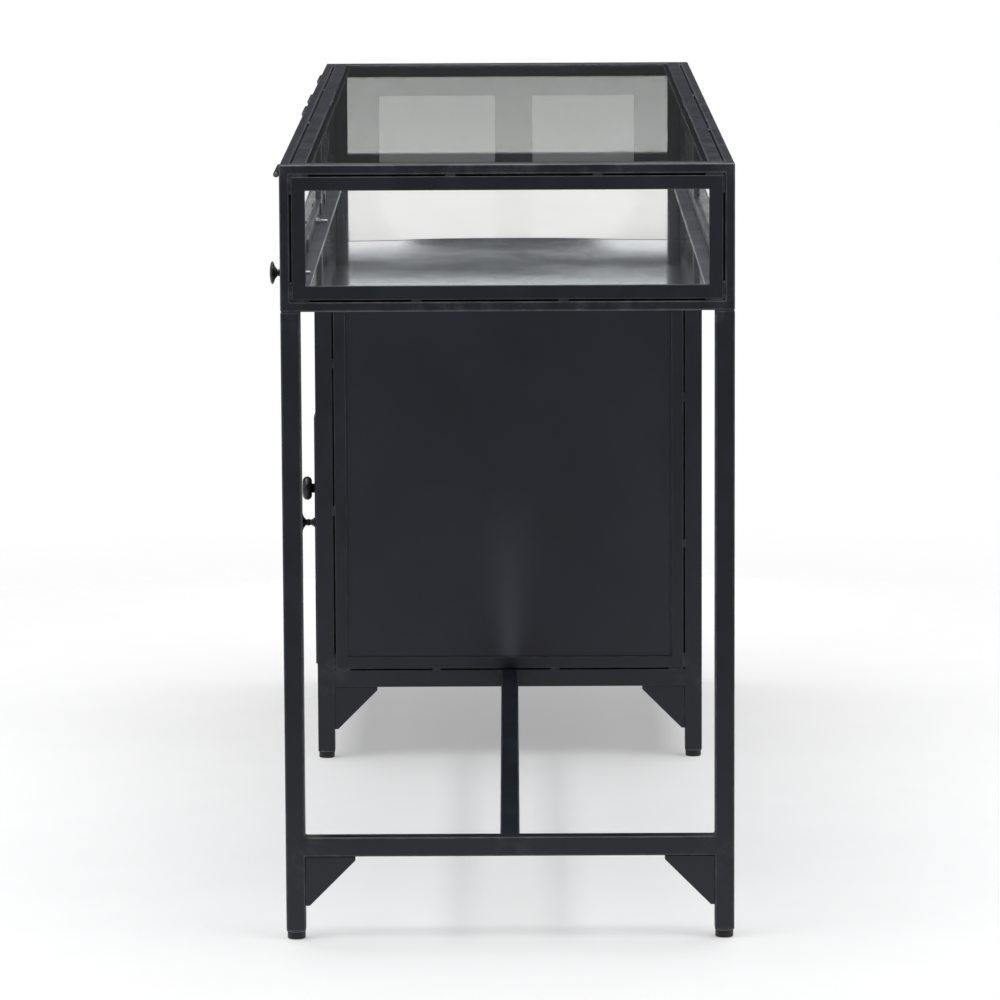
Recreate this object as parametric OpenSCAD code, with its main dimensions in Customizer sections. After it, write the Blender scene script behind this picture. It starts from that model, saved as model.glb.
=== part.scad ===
// Display desk: a glazed case with flip-up front flaps, carried by two legs at one end
// and by a sheet-steel pedestal with a door and a drawer at the other.
// X runs along the length, the front faces -Y, +Z is up, the floor is z = 0.

/* [Overall] */
// Length of the desk
desk_l = 1524; // [1240:1:1900]
// Depth of the frame, front face to back face
desk_w = 457; // [370:1:620]
// Height from the floor to the top face
desk_h = 792; // [650:1:960]

/* [Case] */
// Height of the glazed case
case_h = 148; // [110:1:190]
// Side of the square bars that edge the case
bar = 10; // [8:0.5:14]
// Gap between an edge bar and the frame set inside it
reveal = 2; // [1.5:0.1:3]
// Visible width of each glazing frame
frame_w = 14; // [12:0.5:20]
// Width of the step that the pane sits in
rebate = 5; // [4:0.5:7]
// Thickness of the lip in front of the pane
lip_t = 2.5; // [1.5:0.1:4]
// Thickness of the side panes
pane_t = 4; // [3:0.5:5]
// Thickness of the pane that forms the top
top_pane_t = 9.5; // [6:0.5:9.5]
// Clearance round each pane and panel
pane_gap = 0.5; // [0.3:0.1:1]
// Width of the ledge that carries the top pane
ledge_w = 6; // [5:0.5:12]
// Thickness of the ledge that carries the top pane
ledge_t = 2.5; // [2:0.5:4]

/* [Case floor] */
// Length of the floor sheet nearest the open end
near_sheet_l = 600; // [300:1:900]
// Thickness of the floor sheets
floor_t = 1.5; // [1:0.1:2.5]
// Width of the upturned hem along each floor sheet
hem_w = 2.4; // [1.5:0.1:5]
// Height of the hem above the floor sheet
hem_h = 1.6; // [0.8:0.1:4]
// Width of the painted strips beside the floor sheets
strip_w = 14; // [8:0.5:24]
// Thickness of the painted strips
strip_t = 2; // [1.5:0.1:3]
// Number of bearers under the floor sheets
bearer_count = 7; // [4:1:12]

/* [Legs and rails] */
// Outside width of the square tube
tube = 20; // [16:1:30]
// Wall thickness of the square tube
tube_wall = 1.5; // [1:0.1:3]
// Height of the underside of the low rails
rail_z = 86; // [60:1:140]
// Length of each edge of a gusset
gusset = 51; // [30:1:58]
// Thickness of the gusset plate
gusset_t = 3; // [2:0.5:5]
// Width of the clipped gusset tips
gusset_tip = 4; // [2:0.5:10]
// Diameter of the glides
glide_d = 18.5; // [14:0.5:19]
// Height of the glides
glide_h = 8.5; // [6:0.5:20]

/* [Pedestal] */
// Length of the pedestal along the desk
ped_l = 535; // [420:1:700]
// Thickness of the pedestal's sheet steel
sheet_t = 1.2; // [0.8:0.1:2]

/* [Door] */
// Height of the door
door_h = 297; // [240:1:360]
// Gap between the low rail and the door
door_sill = 5; // [3:0.5:10]
// Gap between the door and the bar above it
door_head = 4; // [3:0.5:10]
// How far the door stands proud of the posts
door_proud = 2.4; // [0:0.1:6]
// Thickness of the door frame
door_t = 18; // [14:0.5:24]
// Width of the door stiles and rails
stile_w = 25; // [22:0.5:40]
// Height of the latch above the bottom of the door
latch_up = 210; // [150:1:220]
// Height of the pull above the bottom of the door
pull_up = 169; // [80:1:180]
// Width of the step that the door panel sits in
door_rebate = 6; // [4:0.5:8]
// Distance from each end of the door to the middle of its hinge
door_hinge_in = 60; // [58:1:70]
// Diameter of the latch knob
latch_d = 28; // [20:1:34]
// Height of the latch knob
latch_h = 14; // [10:0.5:20]
// Radius of the latch spindle
spindle_r = 4; // [3:0.5:5]

/* [Drawer] */
// Gap above and below the drawer front
drawer_gap = 4; // [2:0.5:6]
// Gap at each side of the drawer front
drawer_side_gap = 3; // [2:0.5:5]
// Height of the drawer box above the bottom of its front
box_up = 6; // [4:0.5:10]
// Clearance between the drawer box and the top of its front
box_head = 24; // [12:1:30]
// Depth of the drawer box
box_d = 400; // [300:1:420]
// Height of the runners
runner_h = 28; // [20:1:45]
// Width of the runners
runner_w = 11; // [9:0.5:15]
// Height of the runners above the bottom of the drawer front
runner_up = 14; // [8:1:16]
// Depth of the drawer front's folded edges
front_t = 14; // [10:0.5:20]

/* [Hinges] */
// Length of each hinge
hinge_l = 90; // [60:1:110]
// Radius of the hinge barrels
barrel_r = 3; // [2.5:0.1:3.2]
// Radius of the hinge pins
pin_r = 1.5; // [1.2:0.1:1.8]
// Inset of each flap's hinge nearest the open end
hinge_in_near = 53; // [50:1:90]
// Inset of each flap's other hinge
hinge_in_far = 120; // [60:1:130]

/* [Knobs] */
// How far the small knobs stand out
knob_reach = 19; // [15:0.5:24]
// Diameter of the small knobs' caps
knob_d = 24; // [18:0.5:28]
// Diameter of the small knobs' necks
knob_neck_d = 7; // [6:0.5:10]
// Inset of the long flap's knobs from its ends
knob_inset = 201; // [80:1:240]
// Radius of the knob studs
stud_r = 2; // [1.5:0.1:2.2]
// Length of stud left bare behind each nut
stud_tail = 9; // [5:0.5:12]

/* [Hidden] */
run_gap = 0.05;
side_gap = 0.4;
plate_in = 1;
leaf_t = 0.8;
leaf_over = 3;
leaf_gap = 0.2;
pin_head_t = 1;
pin_head_over = 0.7;
bead_gap = 0.3;
seam_gap = 0.3;
weld_l = 13;
corner_weld_l = 15;
weld_in = 0.6;
weld_depth = 5;
spot_weld_at = [0.36, 0.64];
spot_weld_min_l = 200;
stop_l = 20;
stop_t = 2;
stop_in = 60;
plug_l = 14;
foot_bevel = 1;
stud_gap = 0.15;
stud_in_knob = 8.5;
nut_w = 8.1;
nut_t = 3.2;
washer_r = 4.5;
washer_t = 1;
channel_t = 1.5;
slide_play = 0.6;
box_gap = 1;
drawer_front_wall = 2;
latch_neck_r = 5.5;
latch_foot = 3;
latch_gap = 0.3;
cam_t = 3;
cam_wall = 4;
cam_catch = 7;
spindle_over = 2;
round_fn = 64;
bore_fn = 48;
black = "#2b2d34";
steel = "#9aa3ab";
glass = [0.75, 0.85, 0.82, 0.35];

x_near = desk_l / 2;
x_far = -desk_l / 2;
y_front = (knob_reach + door_proud - desk_w) / 2;
y_back = y_front + desk_w;
y_mid = (y_front + y_back) / 2;
z_case = desk_h - case_h;
edge = bar + reveal;
x_ped = x_far + ped_l;
rail_top = rail_z + tube;
top_rail_z = z_case - tube;
step = frame_w - rebate;
z_ring = z_case + edge;
ring_h = case_h - 2 * edge;
end_ring_w = desk_w - 2 * edge;
x_mid_near = x_ped;
x_mid_far = x_ped - bar;
long_ring_l = x_near - edge - (x_mid_near + reveal);
short_ring_l = (x_mid_far - reveal) - (x_far + edge);
axis_off = barrel_r + 0.5;
flap_axis_z = desk_h - bar - reveal / 2;
flap_axis_y = y_front - axis_off;
floor_z = z_case + bar;
x_in_far = x_far + tube;
x_in_near = x_ped - tube;
door_z = rail_top + door_sill;
door_l = x_in_near - x_in_far - 2 * reveal;
door_y = y_front - door_proud;
door_step = stile_w - door_rebate;
divider_z = door_z + door_h + door_head;
drawer_z = divider_z + tube + drawer_gap;
drawer_h = top_rail_z - drawer_gap - drawer_z;
drawer_l = x_in_near - x_in_far - 2 * drawer_side_gap;
drawer_mid_x = (x_in_near + x_in_far) / 2;
box_z = drawer_z + box_up;
box_h = drawer_h - box_up - box_head;
box_l = x_in_near - x_in_far - 2 * (runner_w + box_gap);
box_y = y_front + front_t + drawer_front_wall;
drawer_knob_z = box_z + box_h / 2;
runner_z = drawer_z + runner_up;
latch_x = x_in_near - reveal - door_step / 2;
x_seam = x_near - bar - near_sheet_l;
long_hinges = [x_near - edge - hinge_in_near, x_mid_near + reveal + hinge_in_far];
short_hinges = [x_mid_far - reveal - hinge_in_near, x_far + edge + hinge_in_far];
knob_z = z_ring + step - stud_r - plate_in;
long_knobs = [x_near - edge - knob_inset, x_mid_near + reveal + knob_inset];
short_knobs = [x_far + edge + short_ring_l / 2];
side_ring_w = desk_w - 2 * tube - 2 * reveal;
back_ring_w = ped_l - 2 * tube - 2 * reveal;
panel_z = rail_top + reveal;
panel_h = top_rail_z - reveal - panel_z;
door_x = x_in_near - reveal;
door_hinge_x = x_in_far + reveal / 2;
door_hinge_y = door_y - axis_off;
door_hinges = [door_z + door_hinge_in, door_z + door_h - door_hinge_in];
cam_y = y_front + tube + side_gap;
spindle_end = cam_y + cam_t + spindle_over;

// ---------- shared shapes ----------

// A block given by its lowest and highest corners.
module block(low, high) {
    translate(low) cube(high - low);
}

// A square tube between two corners, open along the axis numbered 0, 1 or 2.
module square_tube(low, high, along) {
    w = tube_wall;
    inset = [for (i = [0:2]) i == along ? -1 : w];
    difference() {
        block(low, high);
        block(low + inset, high - inset);
    }
}

// Four mitred bars round a w by h opening. Each layer is [outer, inner, front, back].
module mitred_bars(w, h, layers) {
    corners = [[0, 0, 0, w], [w, 0, 90, h], [w, h, 180, w], [0, h, 270, h]];
    for (c = corners)
        translate([c[0], c[1], 0]) rotate(c[2])
            for (l = layers)
                translate([0, 0, l[2]]) linear_extrude(l[3] - l[2])
                    polygon([[l[0], l[0]], [c[3] - l[0], l[0]], [c[3] - l[1], l[1]], [l[1], l[1]]]);
}

// Glazing frame: a lip in front and a step behind it for the pane.
module glazing_frame(w, h) {
    mitred_bars(w, h, [[0, frame_w, 0, lip_t], [0, step, lip_t, bar]]);
}

// Pane that lies in a glazing frame.
module pane(w, h, t) {
    in = step + pane_gap;
    translate([in, in, lip_t]) cube([w - 2 * in, h - 2 * in, t]);
}

// Beads that hold a pane in its frame.
module beads(w, h) {
    mitred_bars(w, h, [[step, frame_w - bead_gap, lip_t + pane_t, bar]]);
}

// Welds that tie a frame to the bars round it: long ones at the corners, spots between.
module frame_welds(w, h) {
    corners = [[0, 0, 0, w], [w, 0, 90, h], [w, h, 180, w], [0, h, 270, h]];
    for (c = corners)
        translate([c[0], c[1], 0]) rotate(c[2]) {
            translate([-reveal, -reveal, weld_in])
                cube([corner_weld_l + reveal, reveal, weld_depth]);
            translate([c[3] - corner_weld_l, -reveal, weld_in])
                cube([corner_weld_l, reveal, weld_depth]);
            for (f = spot_weld_at)
                if (c[3] > spot_weld_min_l)
                    translate([c[3] * f - weld_l / 2, -reveal, weld_in])
                        cube([weld_l, reveal, weld_depth]);
        }
}

// Places a frame drawn in XY, with its depth along +Z, on a face of the desk.
module on_near(y, z) { translate([x_near, y, z]) rotate([90, 0, -90]) children(); }
module on_far(y, z) { translate([x_far, y, z]) rotate([90, 0, 90]) children(); }
module on_front(x, z) { translate([x, y_front, z]) rotate([90, 0, 180]) children(); }
module on_back(x, z) { translate([x, y_back, z]) rotate([90, 0, 0]) children(); }

// One hinge leaf along X, with its pin axis at the origin and the leaf going to +Y.
// side is 1 for the upper, fixed leaf and -1 for the lower, moving leaf.
module hinge_leaf(side, reach) {
    third = hinge_l / 3;
    z0 = side > 0 ? reveal / 2 - leaf_t : -reveal / 2;
    knuckles = side > 0 ? [-hinge_l / 2, hinge_l / 2 - third] : [-third / 2];
    difference() {
        union() {
            translate([-hinge_l / 2, axis_off + leaf_gap, z0]) cube([hinge_l, reach, leaf_t]);
            for (x = knuckles)
                translate([x + side_gap / 2, 0, 0]) {
                    rotate([0, 90, 0]) cylinder(r = barrel_r, h = third - side_gap, $fn = bore_fn);
                    translate([0, pin_r + side_gap, z0]) cube([third - side_gap, axis_off, leaf_t]);
                }
        }
        translate([-hinge_l, 0, 0]) rotate([0, 90, 0])
            cylinder(r = pin_r + run_gap, h = 2 * hinge_l, $fn = bore_fn);
    }
}

// Hinge pin along X with a head at each end.
module hinge_pin() {
    rotate([0, 90, 0]) {
        translate([0, 0, -hinge_l / 2]) cylinder(r = pin_r, h = hinge_l, $fn = bore_fn);
        for (s = [-1, 1])
            translate([0, 0, s * (hinge_l + pin_head_t) / 2 - pin_head_t / 2])
                cylinder(r = pin_r + pin_head_over, h = pin_head_t, $fn = bore_fn);
    }
}

// Small knob that stands out along -Y from the origin.
module knob() {
    r = knob_d / 2;
    n = knob_neck_d / 2;
    foot = 2;
    foot_t = 3.5;
    rim = 1.4;
    under = 4;
    dome = 3;
    cap = knob_reach - dome;
    outline = concat(
        [[0, 0], [n + foot, 0], [n + foot, rim], [n, foot_t]],
        [[n, cap - under - foot], [n + foot, cap - under], [r, cap - rim]],
        [for (a = [0:10:90]) [r * cos(a), cap + dome * sin(a)]]);
    rotate([90, 0, 0])
        difference() {
            rotate_extrude($fn = round_fn) polygon(outline);
            translate([0, 0, -1])
                cylinder(r = stud_r + run_gap, h = stud_in_knob + 1 + side_gap, $fn = bore_fn);
        }
}

// Stud through a plate of thickness t behind a knob, with a washer and a nut.
module knob_stud(t) {
    back = t + washer_t + nut_t;
    rotate([90, 0, 0]) {
        translate([0, 0, -back - stud_tail])
            cylinder(r = stud_r, h = back + stud_tail + stud_in_knob, $fn = bore_fn);
        translate([0, 0, -t - washer_t])
            threaded(washer_t) cylinder(r = washer_r, h = washer_t, $fn = bore_fn);
        translate([0, 0, -back]) threaded(nut_t) cylinder(d = nut_w, h = nut_t, $fn = 6);
    }
}

// Bores a stud's hole through a washer or nut of thickness t.
module threaded(t) {
    difference() {
        children();
        translate([0, 0, -1]) cylinder(r = stud_r + run_gap, h = t + 2, $fn = bore_fn);
    }
}

// Hole for a knob stud, along Y through a plate behind the origin.
module stud_hole(t) {
    translate([0, t + 1, 0]) rotate([90, 0, 0])
        cylinder(r = stud_r + stud_gap, h = t + 2, $fn = bore_fn);
}

// ---------- case ----------

module case_top_long_bars() {
    color(black)
        for (y = [y_front, y_back - bar])
            block([x_far, y, desk_h - bar], [x_near, y + bar, desk_h]);
}

module case_bottom_long_bars() {
    color(black)
        for (y = [y_front, y_back - bar])
            block([x_far, y, z_case], [x_near, y + bar, z_case + bar]);
}

module case_end_bars() {
    color(black)
        for (x = [x_far, x_near - bar], z = [z_case, desk_h - bar])
            block([x, y_front + bar, z], [x + bar, y_back - bar, z + bar]);
}

module case_posts() {
    color(black)
        for (x = [x_far, x_mid_far, x_near - bar], y = [y_front, y_back - bar])
            block([x, y, z_case + bar], [x + bar, y + bar, desk_h - bar]);
}

module end_glazing_frames() {
    color(black) {
        on_near(y_back - edge, z_ring) glazing_frame(end_ring_w, ring_h);
        on_far(y_front + edge, z_ring) glazing_frame(end_ring_w, ring_h);
    }
}

module back_glazing_frames() {
    color(black) {
        on_back(x_mid_near + reveal, z_ring) glazing_frame(long_ring_l, ring_h);
        on_back(x_far + edge, z_ring) glazing_frame(short_ring_l, ring_h);
    }
}

module on_top() {
    translate([x_far + edge, y_back - edge, desk_h]) rotate([180, 0, 0]) children();
}

module top_glazing_frame() {
    color(black)
        on_top() mitred_bars(desk_l - 2 * edge, end_ring_w,
            [[0, frame_w, 0, bar], [step, frame_w + ledge_w, bar, bar + ledge_t]]);
}

module end_glass() {
    color(glass) {
        on_near(y_back - edge, z_ring) pane(end_ring_w, ring_h, pane_t);
        on_far(y_front + edge, z_ring) pane(end_ring_w, ring_h, pane_t);
    }
}

module back_glass() {
    color(glass) {
        on_back(x_mid_near + reveal, z_ring) pane(long_ring_l, ring_h, pane_t);
        on_back(x_far + edge, z_ring) pane(short_ring_l, ring_h, pane_t);
    }
}

module top_glass() {
    in = edge + frame_w + pane_gap;
    color(glass)
        block([x_far + in, y_front + in, desk_h - bar],
              [x_near - in, y_back - in, desk_h - bar + top_pane_t]);
}

module glazing_beads() {
    color(black) {
        on_near(y_back - edge, z_ring) beads(end_ring_w, ring_h);
        on_far(y_front + edge, z_ring) beads(end_ring_w, ring_h);
        on_back(x_mid_near + reveal, z_ring) beads(long_ring_l, ring_h);
        on_back(x_far + edge, z_ring) beads(short_ring_l, ring_h);
    }
}

// ---------- case floor ----------

module floor_bearers() {
    span = desk_l - 4 * bar;
    color(black)
        for (i = [0:bearer_count - 1])
            let (x = x_far + bar + i * (span + bar) / (bearer_count - 1))
                block([x, y_front + bar, z_case], [x + bar, y_back - bar, floor_z]);
}

module floor_side_strips() {
    in = bar + side_gap;
    color(black)
        for (y = [y_front + in, y_back - in - strip_w])
            block([x_far + in, y, floor_z], [x_near - in, y + strip_w, floor_z + strip_t]);
}

// A floor sheet with a hem folded up along each long side.
module floor_sheet(x0, x1) {
    in = bar + 2 * side_gap + strip_w;
    color(steel) {
        block([x0, y_front + in, floor_z], [x1, y_back - in, floor_z + floor_t]);
        for (y = [y_front + in, y_back - in - hem_w])
            block([x0, y, floor_z + floor_t], [x1, y + hem_w, floor_z + floor_t + hem_h]);
    }
}

module floor_sheet_near() {
    floor_sheet(x_seam + seam_gap, x_near - bar - side_gap);
}

module floor_sheet_far() {
    floor_sheet(x_far + bar + side_gap, x_seam - seam_gap);
}

// Tabs that stop the flaps swinging into the case.
module flap_stops() {
    y = y_front + bar + side_gap;
    spots = [x_near - edge - stop_in, (x_near + x_mid_near) / 2, x_mid_near + stop_in,
             x_mid_far - stop_in, x_far + edge + stop_in];
    color(black)
        for (x = spots)
            block([x - stop_l / 2, y, floor_z + strip_t], [x + stop_l / 2, y + stop_t, z_ring + frame_w]);
}

// ---------- flap hinges ----------

module at_flap_hinges(spots) {
    for (x = spots)
        translate([x, flap_axis_y, flap_axis_z]) children();
}

module flap_hinge_fixed_leaves() {
    color(black) at_flap_hinges(concat(long_hinges, short_hinges)) hinge_leaf(1, bar + leaf_over);
}

module flap_hinge_pins() {
    color(steel) at_flap_hinges(concat(long_hinges, short_hinges)) hinge_pin();
}

// ---------- flaps ----------

module flap_frame(x_right, l, knobs) {
    color(black)
        difference() {
            on_front(x_right, z_ring) glazing_frame(l, ring_h);
            for (x = knobs) translate([x, y_front, knob_z]) stud_hole(bar);
        }
}

module long_flap_frame() { flap_frame(x_near - edge, long_ring_l, long_knobs); }
module long_flap_glass() {
    color(glass) on_front(x_near - edge, z_ring) pane(long_ring_l, ring_h, pane_t);
}
module long_flap_beads() {
    color(black) on_front(x_near - edge, z_ring) beads(long_ring_l, ring_h);
}
module long_flap_hinge_leaves() {
    color(black) at_flap_hinges(long_hinges) hinge_leaf(-1, bar + leaf_over);
}
module long_flap_knobs() {
    color(black) for (x = long_knobs) translate([x, y_front, knob_z]) knob();
}
module long_flap_knob_studs() {
    color(steel) for (x = long_knobs) translate([x, y_front, knob_z]) knob_stud(bar);
}

module short_flap_frame() { flap_frame(x_mid_far - reveal, short_ring_l, short_knobs); }
module short_flap_glass() {
    color(glass) on_front(x_mid_far - reveal, z_ring) pane(short_ring_l, ring_h, pane_t);
}
module short_flap_beads() {
    color(black) on_front(x_mid_far - reveal, z_ring) beads(short_ring_l, ring_h);
}
module short_flap_hinge_leaves() {
    color(black) at_flap_hinges(short_hinges) hinge_leaf(-1, bar + leaf_over);
}
module short_flap_knob() {
    color(black) for (x = short_knobs) translate([x, y_front, knob_z]) knob();
}
module short_flap_knob_stud() {
    color(steel) for (x = short_knobs) translate([x, y_front, knob_z]) knob_stud(bar);
}

// ---------- legs ----------

module near_legs() {
    color(black)
        for (y = [y_front, y_back - tube])
            square_tube([x_near - tube, y, glide_h], [x_near, y + tube, z_case], 2);
}

module near_low_rail() {
    color(black)
        square_tube([x_near - tube, y_front + tube, rail_z], [x_near, y_back - tube, rail_top], 1);
}

module stretcher() {
    color(black)
        square_tube([x_ped, y_mid - tube / 2, rail_z], [x_near - tube, y_mid + tube / 2, rail_top], 0);
}

// Gusset plate in the YZ plane, its corner at the origin, going to +Y and -Z.
module gusset_plate() {
    rotate([90, 0, 90])
        linear_extrude(gusset_t)
            polygon([[0, 0], [gusset, 0], [gusset, -gusset_tip], [gusset_tip, -gusset], [0, -gusset]]);
}

module gussets() {
    color(black)
        for (x = [x_far + plate_in, x_ped - gusset_t - plate_in, x_near - gusset_t - plate_in]) {
            translate([x, y_front + tube, rail_z]) gusset_plate();
            translate([x, y_back - tube, rail_z]) mirror([0, 1, 0]) gusset_plate();
        }
}

// Glide: a turned foot with a square plug that is pressed into the tube.
module glide() {
    plug = tube - 2 * tube_wall;
    color("#1c1c1e") {
        cylinder(d1 = glide_d - 2 * foot_bevel, d2 = glide_d, h = foot_bevel, $fn = round_fn);
        translate([0, 0, foot_bevel]) cylinder(d = glide_d, h = glide_h - foot_bevel, $fn = round_fn);
        translate([-plug / 2, -plug / 2, glide_h]) cube([plug, plug, plug_l]);
    }
}

module glides() {
    for (x = [x_far + tube / 2, x_ped - tube / 2, x_near - tube / 2],
         y = [y_front + tube / 2, y_back - tube / 2])
        translate([x, y, 0]) glide();
}

// ---------- pedestal ----------

module pedestal_posts() {
    color(black)
        for (x = [x_far, x_ped - tube], y = [y_front, y_back - tube])
            square_tube([x, y, glide_h], [x + tube, y + tube, z_case], 2);
}

// Four rails between the posts, with their underside at z.
module rail_ring(z) {
    for (y = [y_front, y_back - tube])
        square_tube([x_in_far, y, z], [x_in_near, y + tube, z + tube], 0);
    for (x = [x_far, x_ped - tube])
        square_tube([x, y_front + tube, z], [x + tube, y_back - tube, z + tube], 1);
}

module pedestal_bottom_rails() { color(black) rail_ring(rail_z); }
module pedestal_top_rails() { color(black) rail_ring(top_rail_z); }

module on_ped_side(y, z) { translate([x_ped, y, z]) rotate([90, 0, -90]) children(); }

module panel_frames() {
    color(black) {
        on_ped_side(y_back - tube - reveal, panel_z) glazing_frame(side_ring_w, panel_h);
        on_far(y_front + tube + reveal, panel_z) glazing_frame(side_ring_w, panel_h);
        on_back(x_in_far + reveal, panel_z) glazing_frame(back_ring_w, panel_h);
    }
}

module pedestal_panels() {
    color(black) {
        on_ped_side(y_back - tube - reveal, panel_z) pane(side_ring_w, panel_h, sheet_t);
        on_far(y_front + tube + reveal, panel_z) pane(side_ring_w, panel_h, sheet_t);
        on_back(x_in_far + reveal, panel_z) pane(back_ring_w, panel_h, sheet_t);
    }
}

module stitch_welds() {
    color(black) {
        on_near(y_back - edge, z_ring) frame_welds(end_ring_w, ring_h);
        on_far(y_front + edge, z_ring) frame_welds(end_ring_w, ring_h);
        on_back(x_mid_near + reveal, z_ring) frame_welds(long_ring_l, ring_h);
        on_back(x_far + edge, z_ring) frame_welds(short_ring_l, ring_h);
        on_top() frame_welds(desk_l - 2 * edge, end_ring_w);
        on_ped_side(y_back - tube - reveal, panel_z) frame_welds(side_ring_w, panel_h);
        on_far(y_front + tube + reveal, panel_z) frame_welds(side_ring_w, panel_h);
        on_back(x_in_far + reveal, panel_z) frame_welds(back_ring_w, panel_h);
    }
}

// Sheet laid across the front and back rails between the posts.
module shelf_sheet(z) {
    block([x_in_far + pane_gap, y_front + plate_in, z],
          [x_in_near - pane_gap, y_back - bar - plate_in, z + sheet_t]);
}

module cabinet_floor() { color(black) shelf_sheet(rail_top); }

module divider_bars() {
    color(black)
        for (y = [y_front, y_back - tube - bar - plate_in])
            square_tube([x_in_far, y, divider_z], [x_in_near, y + tube, divider_z + tube], 0);
}

module divider_shelf() { color(black) shelf_sheet(divider_z + tube); }

// ---------- drawer ----------

// Channel that opens towards the drawer. side is 1 at the open end of the desk, -1 at the other.
module runner(side) {
    x0 = side > 0 ? x_in_near - runner_w : x_in_far;
    open = side > 0 ? -1 : 1;
    difference() {
        block([x0, box_y + slide_play, runner_z],
              [x0 + runner_w, y_back - bar - plate_in, runner_z + runner_h]);
        translate([open * channel_t, 0, 0])
            block([x0, y_front, runner_z + channel_t],
                  [x0 + runner_w, y_back, runner_z + runner_h - channel_t]);
    }
}

module drawer_runners() {
    color(steel) {
        runner(1);
        runner(-1);
    }
}

// Bars fixed to the drawer sides that run in the channels.
module drawer_slides() {
    in = channel_t + slide_play;
    w = runner_w + box_gap - channel_t - slide_play;
    x_side = [x_in_near - runner_w - box_gap, x_in_far + runner_w + box_gap - w];
    color(steel)
        for (x = x_side)
            block([x, box_y, runner_z + in], [x + w, box_y + box_d, runner_z + runner_h - in]);
}

module drawer_box() {
    t = sheet_t;
    x0 = drawer_mid_x - box_l / 2;
    color(black)
        difference() {
            block([x0, box_y, box_z], [x0 + box_l, box_y + box_d, box_z + box_h]);
            block([x0 + t, box_y + t, box_z + t], [x0 + box_l - t, box_y + box_d - t, box_z + box_h + 1]);
            translate([drawer_mid_x, box_y, drawer_knob_z]) stud_hole(t);
        }
}

// Folded front: a face with edges turned back to the drawer box.
module drawer_front() {
    t = drawer_front_wall;
    x0 = drawer_mid_x - drawer_l / 2;
    color(black)
        difference() {
            block([x0, y_front, drawer_z], [x0 + drawer_l, box_y, drawer_z + drawer_h]);
            block([x0 + t, y_front + t, drawer_z + t],
                  [x0 + drawer_l - t, box_y + 1, drawer_z + drawer_h - t]);
            translate([drawer_mid_x, y_front, drawer_knob_z]) stud_hole(t);
        }
}

module drawer_knob() { color(black) translate([drawer_mid_x, y_front, drawer_knob_z]) knob(); }
module drawer_knob_stud() {
    color(steel) translate([drawer_mid_x, y_front, drawer_knob_z]) 
        knob_stud(box_y - y_front + sheet_t);
}

// ---------- door ----------

module on_door() { translate([door_x, door_y, door_z]) rotate([90, 0, 180]) children(); }

module door_frame() {
    color(black)
        difference() {
            on_door() mitred_bars(door_l, door_h,
                [[0, stile_w, 0, lip_t], [0, door_step, lip_t, door_t]]);
            translate([latch_x, door_y - 1, door_z + latch_up]) rotate([-90, 0, 0])
                cylinder(r = spindle_r + run_gap, h = door_t + 2, $fn = bore_fn);
            translate([latch_x, door_y, door_z + pull_up]) stud_hole(door_t);
        }
}

module door_panel() {
    in = door_step + pane_gap;
    color(black)
        on_door() translate([in, in, lip_t]) cube([door_l - 2 * in, door_h - 2 * in, sheet_t]);
}

module at_door_hinges() {
    for (z = door_hinges)
        translate([door_hinge_x, door_hinge_y, z]) rotate([0, -90, 0]) children();
}

module door_hinge_fixed_leaves() {
    color(black) at_door_hinges() hinge_leaf(1, bar + door_proud);
}
module door_hinge_leaves() {
    color(black) at_door_hinges() hinge_leaf(-1, bar + door_proud);
}
module door_hinge_pins() {
    color(steel) at_door_hinges() hinge_pin();
}

module door_pull() {
    color(black) translate([latch_x, door_y, door_z + pull_up]) knob();
}
module door_pull_stud() {
    color(steel) translate([latch_x, door_y, door_z + pull_up]) knob_stud(door_t);
}

// Turned knob and its spindle, which passes through the door stile.
module latch_knob() {
    r = latch_d / 2;
    body = (latch_h - latch_foot) / 2;
    outline = concat(
        [[0, 0], [latch_neck_r, 0], [latch_neck_r, latch_foot]],
        [for (a = [-60:15:90]) [(r - body) + body * cos(a), latch_foot + body + body * sin(a)]],
        [[0, latch_h]]);
    color(black)
        translate([latch_x, door_y - latch_gap, door_z + latch_up]) {
            rotate([90, 0, 0]) rotate_extrude($fn = round_fn) polygon(outline);
            rotate([-90, 0, 0])
                cylinder(r = spindle_r, h = spindle_end - door_y + latch_gap, $fn = bore_fn);
        }
}

// Cam on the spindle. At rest it points up; a quarter turn brings it behind the post.
module latch_cam() {
    reach = x_in_near + cam_catch - latch_x;
    w = 2 * (spindle_r + cam_wall);
    color(steel)
        translate([latch_x, cam_y, door_z + latch_up]) rotate([-90, 0, 0])
            difference() {
                union() {
                    cylinder(d = w, h = cam_t, $fn = round_fn);
                    translate([-w / 2, -reach, 0]) cube([w, reach, cam_t]);
                }
                translate([0, 0, -1]) cylinder(r = spindle_r + run_gap, h = cam_t + 2, $fn = bore_fn);
            }
}

case_top_long_bars();
case_bottom_long_bars();
case_end_bars();
case_posts();
end_glazing_frames();
back_glazing_frames();
top_glazing_frame();
end_glass();
back_glass();
top_glass();
glazing_beads();
floor_bearers();
floor_side_strips();
floor_sheet_near();
floor_sheet_far();
flap_stops();
flap_hinge_fixed_leaves();
flap_hinge_pins();
stitch_welds();
near_legs();
near_low_rail();
stretcher();
gussets();
glides();
pedestal_posts();
pedestal_bottom_rails();
pedestal_top_rails();
panel_frames();
pedestal_panels();
cabinet_floor();
divider_bars();
divider_shelf();
drawer_runners();
door_hinge_fixed_leaves();
door_hinge_pins();
long_flap_frame();
long_flap_glass();
long_flap_beads();
long_flap_hinge_leaves();
long_flap_knobs();
long_flap_knob_studs();
short_flap_frame();
short_flap_glass();
short_flap_beads();
short_flap_hinge_leaves();
short_flap_knob();
short_flap_knob_stud();
door_frame();
door_panel();
door_hinge_leaves();
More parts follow.
